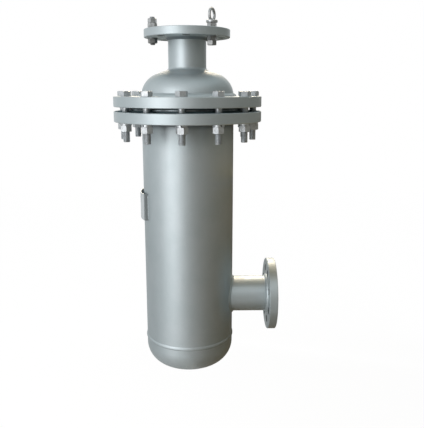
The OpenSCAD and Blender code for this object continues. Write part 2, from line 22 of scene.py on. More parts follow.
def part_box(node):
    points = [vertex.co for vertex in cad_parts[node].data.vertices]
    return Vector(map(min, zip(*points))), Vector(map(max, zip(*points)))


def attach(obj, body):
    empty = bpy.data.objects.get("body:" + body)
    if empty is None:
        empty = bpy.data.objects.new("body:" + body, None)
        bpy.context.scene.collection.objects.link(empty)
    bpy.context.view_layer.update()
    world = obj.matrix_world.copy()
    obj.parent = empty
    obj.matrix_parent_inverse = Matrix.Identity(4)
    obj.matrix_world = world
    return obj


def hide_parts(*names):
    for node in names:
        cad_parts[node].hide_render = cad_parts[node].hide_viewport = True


LOG = logging.getLogger("steam_separator")
MM = 0.001
ROOT = "root"

SAME_POINT = 1e-6  # points nearer than this are merged
CLOSE = 0.1 * MM  # how near CAD points are to what is looked for
TOUCHING = 0.3 * MM  # how near the bracket's feet are to the shell
FLAKES = 1500.0  # pigment flakes to a metre
NOWHERE = (9.0, 9.1)  # a band of heights that no piece reaches
FACE_STEPS = 8  # segments across the face of a fillet
RIPPLE_STEPS = 6  # segments along one ripple of a bead

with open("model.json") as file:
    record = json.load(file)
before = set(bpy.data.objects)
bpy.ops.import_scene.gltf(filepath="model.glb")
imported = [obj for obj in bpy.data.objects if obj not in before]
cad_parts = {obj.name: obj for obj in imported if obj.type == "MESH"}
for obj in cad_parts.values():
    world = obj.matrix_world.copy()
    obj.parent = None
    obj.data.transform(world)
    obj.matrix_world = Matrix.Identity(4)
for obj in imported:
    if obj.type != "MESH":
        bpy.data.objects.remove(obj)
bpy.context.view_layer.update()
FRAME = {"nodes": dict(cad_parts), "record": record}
NODES = FRAME["nodes"]

Pair = tuple[float, float]
Vec3 = tuple[float, float, float]
Piece = bpy.types.Object
Material = bpy.types.Material


class Slot(Enum):
    """Material slots of the record."""

    PAINT = "silver_paint"
    ZINC = "zinc"
    GASKET = "gasket_steel"
    WINDING = "gasket_winding"
    INNER = "inner_steel"


class Axis(IntEnum):
    """Coordinate that a turned piece stands along."""

    INLET = 0
    UP = 2


class Value:
    """What a shader node puts out; numbers among them take Python arithmetic."""

    def __init__(self, nodes: Nodes, socket: Any) -> None:
        """Keeps the socket and the tree that it belongs to."""
        self.nodes = nodes
        self.socket = socket

    def _math(self, operation: str, first: Any, second: Any = 0.0) -> Value:
        """Adds one Math node on two operands."""
        return self.nodes.node("ShaderNodeMath", {0: first, 1: second}, operation=operation)

    def __add__(self, other: Any) -> Value:
        """Sum."""
        return self._math("ADD", self, other)

    __radd__ = __add__

    def __mul__(self, other: Any) -> Value:
        """Product."""
        return self._math("MULTIPLY", self, other)

    def __sub__(self, other: Any) -> Value:
        """Difference."""
        return self._math("SUBTRACT", self, other)

    def __rsub__(self, other: Any) -> Value:
        """Reflected difference."""
        return self._math("SUBTRACT", other, self)

    def through(self, operation: str) -> Value:
        """The value put through a Math operation of one operand."""
        return self._math(operation, self)

    def most(self, other: Value) -> Value:
        """The larger of two values."""
        return self._math("MAXIMUM", self, other)

    def clamp(self) -> Value:
        """The value held between 0 and 1."""
        return self.nodes.node("ShaderNodeClamp", {"Value": self})

    def step(self, low: float, high: float) -> Value:
        """Smooth step from 0 at the low value to 1 at the high one."""
        return self.nodes.node(
            "ShaderNodeMapRange", {"Value": self, "From Min": low, "From Max": high},
            interpolation_type="SMOOTHSTEP")

    def within(self, rise: Pair, fall: Pair) -> Value:
        """A band that rises between two values and falls between two others."""
        return self.step(*rise) * (1.0 - self.step(*fall))


class Nodes:
    """A node tree, built from expressions."""

    def __init__(self, owner: Any) -> None:
        """Empties the node tree of a material or a world.

        Args:
            owner: the material or world.
        """
        owner.use_nodes = True
        self.tree = owner.node_tree
        self.tree.nodes.clear()

    def node(self, kind: str, inputs: dict[Any, Any], output: Any = 0, **settings: Any) -> Value:
        """Adds one node.

        Args:
            kind: the node's type.
            inputs: values or links for its sockets, by name or place.
            output: name or place of the output that is wanted.
            settings: properties that are set first.

        Returns:
            That output.
        """
        made = self.tree.nodes.new(kind)
        for key, value in settings.items():
            setattr(made, key, value)
        for key, value in inputs.items():
            self.feed(made.inputs[key], value)
        return Value(self, made.outputs[output])

    def feed(self, socket: Any, value: Any) -> None:
        """Links a Value to a socket, or sets a plain number or colour on it.

        Args:
            socket: the socket.
            value: a Value, number or colour.
        """
        if isinstance(value, Value):
            self.tree.links.new(value.socket, socket)
        elif isinstance(value, tuple) and len(value) == 3 and len(socket.default_value) == 4:
            socket.default_value = (*value, 1.0)
        else:
            socket.default_value = value

    def ray(self, kind: str) -> Value:
        """Whether the light path that is traced is of a kind."""
        return self.node("ShaderNodeLightPath", {}, kind)

    def end(self, kind: str, shown: Value) -> None:
        """Adds the output node and links what is shown to it."""
        self.tree.links.new(shown.socket, self.tree.nodes.new(kind).inputs[0])


class Graph(Nodes):
    """Node tree of one finish, with a Principled shader."""

    def __init__(self, name: str) -> None:
        """Makes a plain material of that name.

        Args:
            name: the material's name.
        """
        self.material = bpy.data.materials.new(name)
        super().__init__(self.material)
        self.shader = self.tree.nodes.new("ShaderNodeBsdfPrincipled")
        self.end("ShaderNodeOutputMaterial", Value(self, self.shader.outputs[0]))

    def set(self, **sockets: Any) -> None:
        """Feeds sockets of the shader; underscores in the names stand for spaces."""
        for key, value in sockets.items():
            self.feed(self.shader.inputs[key.replace("_", " ")], value)

    def place(self) -> Value:
        """Object coordinates, in metres."""
        return self.node("ShaderNodeTexCoord", {}, "Object")

    def parts(self, vector: Value) -> tuple[Value, Value, Value]:
        """The three parts of a vector.

        Args:
            vector: the vector.

        Returns:
            Its X, Y and Z.
        """
        made = self.tree.nodes.new("ShaderNodeSeparateXYZ")
        self.feed(made.inputs[0], vector)
        return tuple(Value(self, part) for part in made.outputs)

    def stretched(self, vector: Value, scale: Vec3) -> Value:
        """Coordinates scaled by a different amount along each axis."""
        return self.node("ShaderNodeMapping", {"Vector": vector, "Scale": scale})

    def noise(
            self, vector: Value, scale: float, detail: float = 3.0, rough: float = 0.55) -> Value:
        """Fractal noise round 0.5, with so many waves to a metre and octaves."""
        return self.node(
            "ShaderNodeTexNoise",
            {"Vector": vector, "Scale": scale, "Detail": detail, "Roughness": rough}, "Fac")

    def cells(self, vector: Value, scale: float) -> Value:
        """A random number in each of many small cells."""
        colour = self.node("ShaderNodeTexVoronoi", {"Vector": vector, "Scale": scale}, "Color")
        return self.node("ShaderNodeSeparateColor", {0: colour})

    def mix(self, factor: Any, first: Any, second: Any) -> Value:
        """Mix of two colours, by the share of the second."""
        return self.node(
            "ShaderNodeMix", {0: factor, 6: first, 7: second}, 2, data_type="RGBA")

    def bump(self, height: Value, strength: float, distance: float) -> Value:
        """A normal from a relief of some weight and depth in metres."""
        return self.node(
            "ShaderNodeBump", {"Height": height, "Strength": strength, "Distance": distance})

    def facing(self) -> tuple[Value, Value, Value]:
        """How far a surface faces along each axis: the parts of its normal."""
        return self.parts(self.node("ShaderNodeNewGeometry", {}, "Normal"))


@dataclass(frozen=True)
class SilverPaint:
    """Semi-gloss aluminium-pigment paint, sprayed by hand."""

    name: str = "silver_paint"
    base: Vec3 = (0.435, 0.496, 0.518)  # colour of a full coat
    thin: Vec3 = (0.405, 0.470, 0.490)  # colour of a thin coat
    shade_top: float | None = None  # height up to which the painted shade under an overhang is darkest
    shade_colour: Vec3 = (0.02, 0.022, 0.023)  # colour of the painted shade under an overhang
    flake: Vec3 = (0.70, 0.77, 0.79)
    dust: Vec3 = (0.50, 0.52, 0.51)
    metallic: float = 0.82
    roughness: float = 0.50
    coat: float = 0.05

    def material(self) -> Material:
        """Builds the paint: pigment flakes, spray mottling, dust, runs, orange peel and painted
        shade under an overhang, where one is given.

        Returns:
            The material.
        """
        g = Graph(self.name)
        at = g.place()
        flakes = g.cells(at, FLAKES)
        runs = g.noise(g.stretched(at, (45.0, 45.0, 3.5)), 1.0, 2.0)
        scuffs = g.noise(at, 70.0, 5.0, 0.7).step(0.62, 0.72)
        settled = g.facing()[2].step(0.55, 0.95) * g.noise(at, 30.0).step(0.35, 0.7)
        colour = self.sprayed(g, g.noise(at, 14.0, 4.0), flakes, settled * 0.45)
        if self.shade_top is not None:
            # painted shade under the overhang: darkest right below it, fading out over two depths
            height = g.parts(at)[2]
            for reach, share in ((60.0 * MM, 0.30), (14.0 * MM, 0.55)):
                under = height.step(self.shade_top - reach, self.shade_top)
                colour = g.mix(under * share, colour, self.shade_colour)
        rough = (self.roughness + (flakes - 0.5) * 0.05 + (runs - 0.5) * 0.10
                 + scuffs * 0.10 + settled * 0.14)
        return self.film(g, colour, rough, self.peel(g, at) * 0.7 + runs * 0.3)

    def sprayed(self, g: Graph, mottle: Value, flakes: Value, dusty: Value) -> Value:
        """Colour of a coat by its thickness, a random number for each flake and share of dust."""
        colour = g.mix(mottle.step(0.35, 0.65), self.thin, self.base)
        return g.mix(dusty, g.mix(flakes.step(0.82, 0.98) * 0.18, colour, self.flake), self.dust)

    def peel(self, g: Graph, at: Value) -> Value:
        """Relief of the paint's orange peel."""
        return g.noise(at, 210.0, 2.0, 0.4)

    def film(self, g: Graph, colour: Value, rough: Value, relief: Value) -> Material:
        """Sets the shader to a coat of this paint and gives its material."""
        g.set(Base_Color=colour, Metallic=self.metallic, Roughness=rough.clamp(),
              Coat_Weight=self.coat, Coat_Roughness=0.30,
              Normal=g.bump(relief, 0.10, 0.6 * MM))
        return g.material


@dataclass(frozen=True)
class FlangePaint:
    """The vessel's paint on a turned flange: bare dark joint face, rubbed rims, tool rings and
    painted shade in the bolt holes.
    """

    name: str
    axis: Axis
    centre: Vec3  # a point on the flange's axis
    rim: float  # radius of the flange
    face: float  # radius of its raised face
    joint: Pair  # where the bare joint starts and ends along the axis
    paint: SilverPaint = SilverPaint()
    bare: Vec3 = (0.19, 0.28, 0.31)
    # colour of the painted shade on the bolt-hole walls
    hole: Vec3 = (0.11, 0.12, 0.12)
    rubbed: Vec3 = (0.58, 0.63, 0.64)

    def material(self) -> Material:
        """Builds the paint with what the joint, the rim and the holes add to it.

        Returns:
            The material.
        """
        g = Graph(self.name)
        at = g.place()
        parts, facing = g.parts(at), g.facing()
        across, other = (parts[i] - self.centre[i] for i in range(3) if i != self.axis)
        radius = (across * across + other * other).through("SQRT")
        blur = 0.2 * MM
        joint = parts[self.axis].within(*((end - blur, end + blur) for end in self.joint))
        joint = joint * (1.0 - radius.step(self.rim - 3.5 * MM, self.rim - 1.5 * MM))
        wear = radius.within(
            (self.rim - 1.6 * MM, self.rim - 0.9 * MM),
            (self.rim - 0.25 * MM, self.rim - 0.05 * MM))
        wear = wear * g.noise(at, 120.0, 4.0, 0.7).step(0.48, 0.6)
        sideways = 1.0 - facing[self.axis].through("ABSOLUTE").step(0.3, 0.5)
        # walls of the bolt holes, which get painted shade
        shaded_hole_walls = sideways * radius.within(
            (self.face + 1.0 * MM, self.face + 2.0 * MM),
            (self.rim - 3.5 * MM, self.rim - 3.0 * MM))
        flakes = g.cells(at, FLAKES)
        settled = facing[2].step(0.55, 0.95) * g.noise(at, 34.0).step(0.35, 0.7)
        colour = self.paint.sprayed(g, g.noise(at, 16.0, 4.0), flakes, settled * 0.4)
        colour = g.mix(wear * 0.6, colour, self.rubbed)
        colour = g.mix(joint, colour, self.bare)
        colour = g.mix(shaded_hole_walls, colour, self.hole)
        rough = (self.paint.roughness + (flakes - 0.5) * 0.05 + settled * 0.12
                 + joint * 0.25 - wear * 0.08)
        tool = (radius * 5200.0).through("SINE")
        raised = 1.0 - radius.step(self.face - 0.6 * MM, self.face)
        relief = self.paint.peel(g, at) * 0.7 + tool * raised * 0.25
        return self.paint.film(g, colour, rough, relief)


@dataclass(frozen=True)
class BracketPaint:
    """The vessel's paint on the bracket, paler in patches on its web, with painted shade on its
    legs.
    """

    side: Pair  # direction across the bracket
    half: float  # half of its width
    name: str = "bracket_paint"
    paint: SilverPaint = SilverPaint()
    web: Vec3 = (0.66, 0.71, 0.73)
    # colour of the painted shade on the legs
    bare: Vec3 = (0.215, 0.245, 0.255)
    leg: float = 2.6 * MM  # depth of a leg

    def material(self) -> Material:
        """Builds the paint with painted shade on the two legs.

        Returns:
            The material.
        """
        g = Graph(self.name)
        at = g.place()
        x, y, _ = g.parts(at)
        across = (x * self.side[0] + y * self.side[1]).through("ABSOLUTE")
        # painted shade over the depth of each leg
        leg = across.step(self.half - self.leg, self.half - 0.6 * self.leg)
        pale_patches = g.noise(at, 16.0, 4.0).step(0.30, 0.55)
        colour = g.mix(leg, g.mix(pale_patches, self.paint.base, self.web), self.bare)
        rough = self.paint.roughness + leg * 0.10 + (g.cells(at, FLAKES) - 0.5) * 0.05
        return self.paint.film(g, colour, rough, self.paint.peel(g, at))


@dataclass(frozen=True)
class ZincPlate:
    """Zinc on fasteners, dulled by handling and weather."""

    name: str = "zinc_plate"
    base: Vec3 = (0.50, 0.54, 0.56)
    dull: Vec3 = (0.40, 0.43, 0.445)  # colour where it has clouded over
    warm: Vec3 = (0.48, 0.48, 0.45)  # colour of the stains
    metallic: float = 0.72
    roughness: float = 0.41
    shade_height: float = -1.0  # height below which painted shade darkens it
    # colour of that painted shade
    shade_tint: Vec3 = (0.10, 0.105, 0.10)

    def material(self) -> Material:
        """Builds the plating: cloudy dulling, warm tints, fine scratches and painted shade below a
        height.

        Returns:
            The material.
        """
        g = Graph(self.name)
        at = g.place()
        cloud = g.noise(at, 160.0, 4.0)
        tint = g.noise(at, 60.0, 2.0).step(0.55, 0.75)
        scratch = g.noise(g.stretched(at, (1500.0, 1500.0, 120.0)), 1.0, 2.0)
        # painted shade below the given height
        shaded = 1.0 - g.parts(at)[2].step(self.shade_height - 1.0 * MM, self.shade_height + 1.0 * MM)
        colour = g.mix(cloud.step(0.4, 0.7), self.base, self.dull)
        colour = g.mix(tint * 0.3, colour, self.warm)
        colour = g.mix(shaded * 0.7, colour, self.shade_tint)
        rough = self.roughness + (cloud - 0.5) * 0.10 + (scratch - 0.5) * 0.06
        g.set(Base_Color=colour, Metallic=self.metallic, Roughness=rough.clamp(),
              Normal=g.bump(scratch, 0.05, 0.2 * MM))
        return g.material


@dataclass(frozen=True)
class BareSteel:
    """Unpainted steel inside the vessel and in the gasket, with mill scale."""

    name: str
    base: Vec3
    scale: Vec3
    roughness: float

    def material(self) -> Material:
        """Builds the steel: mill scale in patches over a rolled grain.

        Returns:
            The material.
        """
        g = Graph(self.name)
        at = g.place()
        patch = g.noise(at, 40.0, 5.0, 0.65).step(0.42, 0.62)
        grain = g.noise(g.stretched(at, (700.0, 60.0, 700.0)), 1.0, 2.0)
        colour = g.mix(patch, self.base, self.scale)
        rough = self.roughness + patch * 0.14 + (grain - 0.5) * 0.12
        g.set(Base_Color=colour, Metallic=0.9, Roughness=rough.clamp(),
              Normal=g.bump(grain + patch * 0.4, 0.12, 0.3 * MM))
        return g.material


def mode(name: str) -> None:
    """Switches the active object to a mode."""
    bpy.ops.object.mode_set(mode=name)


def clear_selection() -> None:
    """Leaves edit mode and deselects everything."""
    if bpy.context.object and bpy.context.object.mode != "OBJECT":
        mode("OBJECT")
    bpy.ops.object.select_all(action="DESELECT")


def pick(*objects: Piece) -> None:
    """Selects these objects only and makes the first one active.

    Args:
        objects: the objects.
    """
    clear_selection()
    for item in objects:
        item.select_set(True)
    bpy.context.view_layer.objects.active = objects[0]


def edit_all(item: Piece) -> None:
    """Opens a piece in edit mode with all of it selected.

    Args:
        item: the piece.
    """
    pick(item)
    mode("EDIT")
    bpy.ops.mesh.select_all(action="SELECT")


def apply_modifier(item: Piece, kind: str, **settings: Any) -> None:
    """Adds a modifier to a piece and applies it.

    Args:
        item: the piece.
        kind: the modifier's type.
        settings: its properties.
    """
    made = item.modifiers.new(kind.lower(), kind)
    for key, value in settings.items():
        setattr(made, key, value)
    pick(item)
    bpy.ops.object.modifier_apply(modifier=made.name)


def outline(name: str, points: Sequence[Pair], closed: bool = True) -> Piece:
    """Draws an outline in the X-Z plane.

    Args:
        name: the piece's name.
        points: radius and height of each corner, in metres.
        closed: whether the last corner joins the first.

    Returns:
        A mesh of edges.
    """
    clear_selection()
    bpy.ops.mesh.primitive_circle_add(vertices=len(points), radius=10.0 * MM, fill_type="NOTHING")
    item = bpy.context.object
    item.name = item.data.name = name
    for vertex, (radius, height) in zip(item.data.vertices, points):
        vertex.co = (radius, 0.0, height)
    if not closed:
        mode("EDIT")
        bpy.ops.mesh.select_all(action="DESELECT")
        bpy.ops.mesh.select_mode(type="EDGE")
        mode("OBJECT")
        ends = {0, len(points) - 1}
        for edge in item.data.edges:
            edge.select = set(edge.vertices) == ends
        mode("EDIT")
        bpy.ops.mesh.delete(type="EDGE")
        mode("OBJECT")
    return item


def turn(item: Piece, steps: int) -> None:
    """Spins a closed outline once round the Z axis into a ring.

    Args:
        item: the outline.
        steps: segments of the ring.
    """
    edit_all(item)
    bpy.ops.mesh.spin(
        steps=steps, angle=math.tau, center=(0.0, 0.0, 0.0), axis=(0.0, 0.0, 1.0))
    close_up(item)


def close_up(item: Piece) -> None:
    """Merges doubles and turns all faces outwards.

    Args:
        item: the piece.
    """
    edit_all(item)
    bpy.ops.mesh.remove_doubles(threshold=SAME_POINT)
    bpy.ops.mesh.normals_make_consistent(inside=False)
    mode("OBJECT")


def cut(item: Piece, height: float, keep_below: bool) -> None:
    """Cuts a piece flat at a height and closes the cut.

    Args:
        item: the piece.
        height: where it is cut.
        keep_below: whether the lower part stays.
    """
    edit_all(item)
    bpy.ops.mesh.bisect(
        plane_co=(0.0, 0.0, height), plane_no=(0.0, 0.0, 1.0), use_fill=True,
        clear_outer=keep_below, clear_inner=not keep_below)
    mode("OBJECT")


def shade(item: Piece, degrees: float = 35.0) -> None:
    """Smooths a piece's shading up to an angle between faces."""
    pick(item)
    bpy.ops.object.shade_smooth_by_angle(angle=math.radians(degrees))


def aimed(item: Piece, place: Vec3, aim: Vec3, front: str) -> None:
    """Stands an object at a place with its front towards a point."""
    item.location = place
    item.rotation_euler = (Vector(aim) - Vector(place)).to_track_quat(front, "Y").to_euler()


def copy_of(item: Piece, matrix: Matrix) -> Piece:
    """A copy with its own mesh, put in place by a matrix.

    Args:
        item: the piece.
        matrix: how its points are moved.

    Returns:
        The copy.
    """
    made = item.copy()
    made.data = item.data.copy()
    made.data.transform(matrix)
    bpy.context.collection.objects.link(made)
    return made


def joined(name: str, items: Sequence[Piece]) -> Piece:
    """Joins pieces into one object of that name.

    Args:
        name: the name.
        items: the pieces.

    Returns:
        The object.
    """
    pick(*items)
    bpy.ops.object.join()
    item = bpy.context.view_layer.objects.active
    item.name = item.data.name = name
    return item


def coated(item: Piece, material: Material) -> None:
    """Makes this the only material of a piece."""
    item.data.materials.clear()
    item.data.materials.append(material)


def dressed(item: Piece, material: Material, slot: Slot, *nodes: str) -> None:
    """Gives a piece its finish and its place in the frame.

    Args:
        item: the piece.
        material: its finish.
        slot: the record's material slot; not used.
        nodes: the CAD nodes that it stands for.
    """
    coated(item, material)
    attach(item, ROOT)
    if nodes:
        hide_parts(*nodes)
    LOG.info("piece %s, %d faces, stands for %s",
             item.name, len(item.data.polygons), ", ".join(nodes) or "none")


def middle(node: str) -> Vector:
    """Middle of a CAD node's box."""
    low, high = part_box(node)
    return (Vector(low) + Vector(high)) / 2


def span(node: str, axis: int) -> Pair:
    """Lowest and highest place of a CAD node along an axis."""
    low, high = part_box(node)
    return low[axis], high[axis]


def points_of(node: str) -> np.ndarray:
    """Corner points of a CAD node's mesh, one to a row.

    Args:
        node: the node's name.

    Returns:
        The points.
    """
    mesh = NODES[node].data
    points = np.empty(len(mesh.vertices) * 3)
    mesh.vertices.foreach_get("co", points)
    return points.reshape(-1, 3)


def bracket_feet() -> np.ndarray:
    """Points of the bracket that stand on the shell, seen from above."""
    points = points_of("nameplate_bracket")[:, :2]
    return points[np.hypot(points[:, 0], points[:, 1]) < span("shell", 0)[1] + TOUCHING]


def bracket_side() -> Pair:
    """Direction across the bracket, square to the one in which it stands out from the shell.

    Returns:
        Its X and Y.
    """
    feet = bracket_feet()
    front = Vector(feet.min(axis=0) + feet.max(axis=0)).normalized()
    return -front.y, front.x


@dataclass
class Thread:
    """A screw thread on a round bar, cut to length."""

    radius: float  # outside radius
    pitch: float  # rise of one turn
    low: float
    high: float
    steps: int = 28
    tip: float = 1.1 * MM  # radial chamfer at an end
    spare: int = 2  # turns beyond each end, cut off again
    # corners of one turn: height above the root and rise, in pitches
    profile: tuple[Pair, ...] = ((0.0, 0.0), (0.02, 0.1), (0.61, 0.46), (0.61, 0.6), (0.0, 1.0))

    def build(self, name: str, chamfer_low: bool, chamfer_high: bool) -> Piece:
        """Models the bar.

        Args:
            name: the piece's name.
            chamfer_low: whether the lower end is pointed.
            chamfer_high: whether the upper end is pointed.

        Returns:
            A closed mesh round the Z axis.
        """
        root = self.radius - max(out for out, _ in self.profile) * self.pitch
        start = self.low - self.spare * self.pitch
        turns = math.ceil((self.high - self.low) / self.pitch) + 2 * self.spare
        corners = [(root + out * self.pitch, start + up * self.pitch) for out, up in self.profile]
        bar = outline(name, corners, closed=False)
        apply_modifier(
            bar, "SCREW", screw_offset=self.pitch, iterations=turns, steps=self.steps,
            render_steps=self.steps, use_merge_vertices=True, merge_threshold=SAME_POINT)
        cut(bar, self.high, keep_below=True)
        cut(bar, self.low, keep_below=False)
        close_up(bar)
        for end, wanted in ((self.low, chamfer_low), (self.high, chamfer_high)):
            if wanted:
                self._point(bar, end)
        return bar

    def _point(self, bar: Piece, end: float) -> None:
        """Turns down the last bit of the bar at one end.

        Args:
            bar: the bar.
            end: height of the end.
        """
        for vertex in bar.data.vertices:
            depth = abs(vertex.co.z - end)
            limit = self.radius - self.tip + depth
            reach = math.hypot(vertex.co.x, vertex.co.y)
            if reach > limit:
                vertex.co.x *= limit / reach
                vertex.co.y *= limit / reach


@dataclass
class CoverBolts:
    """Hexagon bolts round the cover: forged heads, plain shanks, rolled threads."""

    shank: float = 8.0 * MM  # radius of the plain shank
    pitch: float = 2.0 * MM
    threaded: float = 44.0 * MM  # length of the thread
    flats: float = 24.0 * MM  # width across the head's flats
    corner: float = flats / math.sqrt(3.0)  # radius of the head's corners
    count: int = 12
    washer: float = 0.5 * MM  # height of the round face under a head
    slope: float = 30.0  # degrees of the chamfer on top of a head
    top: float = 0.95  # width of a head's flat top, as a share of the flats
    face: float = 0.94  # width of the round face, likewise

    def build(self, zinc: Material) -> None:
        """Models one bolt and copies it to each CAD bolt.

        Args:
            zinc: its finish.
        """
        low, high = span("body_bolts", 2)
        seat = span("cover_flange", 2)[1]
        head = self._head(high - seat)
        bar = Thread(self.shank, self.pitch, 0.0, self.threaded).build("bolt_thread", True, False)
        plain = outline("bolt_shank", [
            (0.0, self.threaded), (self.shank - 1.2 * MM, self.threaded),
            (self.shank - 0.1 * MM, self.threaded + 1.6 * MM),
            (self.shank - 0.1 * MM, seat - low), (0.0, seat - low)])
        turn(plain, 40)
        head.data.transform(Matrix.Translation((0.0, 0.0, seat - low)))
        shaft = joined("bolt_shaft", [bar, plain])
        points = points_of("body_bolts")
        corners = points[np.abs(points[:, 2] - seat) < CLOSE]
        copies = []
        for centre in self._centres(points):
            place = Matrix.Translation((*centre, low))
            turned = Matrix.Rotation(self._turn(corners, centre), 4, "Z")
            copies += [copy_of(shaft, place), copy_of(head, place @ turned)]
        bpy.data.objects.remove(shaft)
        bpy.data.objects.remove(head)
        bolts = joined("cover_bolts", copies)
        shade(bolts)
        dressed(bolts, zinc, Slot.ZINC, "body_bolts")

    def _centres(self, points: np.ndarray) -> list[Pair]:
        """Where the axis of each CAD bolt stands, read from the tips of the solids.

        Args:
            points: points of all solids.

        Returns:
            X and Y of each axis.
        """
        tip = points[points[:, 2] < points[:, 2].min() + CLOSE]
        reach = np.hypot(tip[:, 0], tip[:, 1])
        radius = float(reach.min() + reach.max()) / 2
        angles = np.arctan2(tip[:, 1], tip[:, 0])
        first = float(np.angle(np.exp(1j * self.count * angles).mean())) / self.count
        turns = [first + i * math.tau / self.count for i in range(self.count)]
        return [(radius * math.cos(angle), radius * math.sin(angle)) for angle in turns]

    def _turn(self, corners: np.ndarray, centre: Pair) -> float:
        """Angle of one corner of the CAD head that stands at a place.

        Args:
            corners: points at the height of the seat.
            centre: the bolt's axis.

        Returns:
            The angle.
        """
        away = corners[:, :2] - np.array(centre)
        reach = np.hypot(away[:, 0], away[:, 1])
        away = away[np.abs(reach - self.corner) < CLOSE]
        angles = np.arctan2(away[:, 1], away[:, 0])
        return float(np.angle(np.exp(6j * angles).mean())) / 6.0

    def _head(self, height: float) -> Piece:
        """Models the head: a hexagon trimmed by a turned blank, with a washer face below.

        Args:
            height: from seat to top.

        Returns:
            A closed mesh standing on zero, one corner along X.
        """
        clear_selection()
        bpy.ops.mesh.primitive_cylinder_add(
            vertices=6, radius=self.corner, depth=height - self.washer,
            location=(0.0, 0.0, (height + self.washer) / 2),
            rotation=(0.0, 0.0, math.radians(30.0)))
        head = bpy.context.object
        bpy.ops.object.transform_apply()
        top = self.flats / 2 * self.top
        drop = (self.corner - top) * math.tan(math.radians(self.slope))
        wide = self.corner + 1.0 * MM
        blank = outline("blank", [
            (0.0, -1.0 * MM), (wide, -1.0 * MM), (wide, height - drop - 0.5 * MM),
            (top, height), (0.0, height)])
        turn(blank, 72)
        apply_modifier(head, "BOOLEAN", operation="INTERSECT", object=blank, solver="EXACT")
        bpy.data.objects.remove(blank)
        round_face = self.flats / 2 * self.face
        overlap = self.washer + 0.1 * MM
        washer = outline("washer_face", [
            (0.0, 0.0), (round_face, 0.0), (round_face, overlap), (0.0, overlap)])
        turn(washer, 48)
        return joined("bolt_head", [head, washer])


@dataclass
class RingBead:
    """A ring-shaped weld bead with the ripples of its passes."""

    node: str  # the CAD weld that it stands for
    axis: Axis
    origin: Sequence[float]  # where the ring's middle stands
    section: list[Pair]  # radius and height of its corners, from the ring's plane
    crown: int  # the corner at which the open face starts
    pitch: float = 3.6 * MM  # distance from one ripple to the next
    depth: float = 0.55 * MM  # height of the ripples
    bow: float = 0.8  # how far a ripple bends back at the toes, in ripples
    saddle: float = 0.0  # radius of the shell that the ring is draped on, 0 if flat

    def build(self, paint: Material) -> None:
        """Models the bead and puts it on its seam.

        Args:
            paint: its finish.
        """
        radius = max(point[0] for point in self.section)
        ripples = round(math.tau * radius / self.pitch)
        bead = outline(self.node + "_bead", self.section)
        turn(bead, ripples * RIPPLE_STEPS)
        self._ripple(bead, ripples)
        if self.saddle:
            self._drape(bead)
        if self.axis is Axis.INLET:
            bead.data.transform(Matrix.Rotation(math.pi / 2, 4, "Y"))
        bead.data.transform(Matrix.Translation(self.origin))
        shade(bead, 60.0)
        dressed(bead, paint, Slot.PAINT, self.node)

    def _ripple(self, bead: Piece, ripples: int) -> None:
        """Raises crescent ripples on the open face by a weighted displacement.

        Args:
            bead: the smooth ring.
            ripples: how many go round it.
        """
        crown = self.section[self.crown:]
        lengths = [0.0]
        for first, second in zip(crown, crown[1:]):
            lengths.append(lengths[-1] + math.dist(first, second))
        group = bead.vertex_groups.new(name="ripple")
        for vertex in bead.data.vertices:
            place = (math.hypot(vertex.co.x, vertex.co.y), vertex.co.z)
            angle = math.atan2(vertex.co.y, vertex.co.x)
            wander = 0.5 + 0.5 * math.sin(angle * 23.0) * math.sin(angle * 7.0 + 1.0)
            for point, length in list(zip(crown, lengths))[1:-1]:
                if math.dist(place, point) < 0.02 * MM:
                    across = 2.0 * length / lengths[-1] - 1.0
                    phase = (angle / math.tau * ripples + self.bow * across * across) % 1.0
                    crest = (1.0 - phase) ** 0.6 * (1.0 - across ** 4)
                    group.add([vertex.index], crest * (0.75 + 0.25 * wander), "REPLACE")
        apply_modifier(
            bead, "DISPLACE", strength=self.depth, mid_level=0.0, vertex_group="ripple")

    def _drape(self, bead: Piece) -> None:
        """Drops each point of the ring onto the round shell that it goes through."""
        for vertex in bead.data.vertices:
            vertex.co.z += math.sqrt(self.saddle ** 2 - vertex.co.y ** 2) - self.saddle


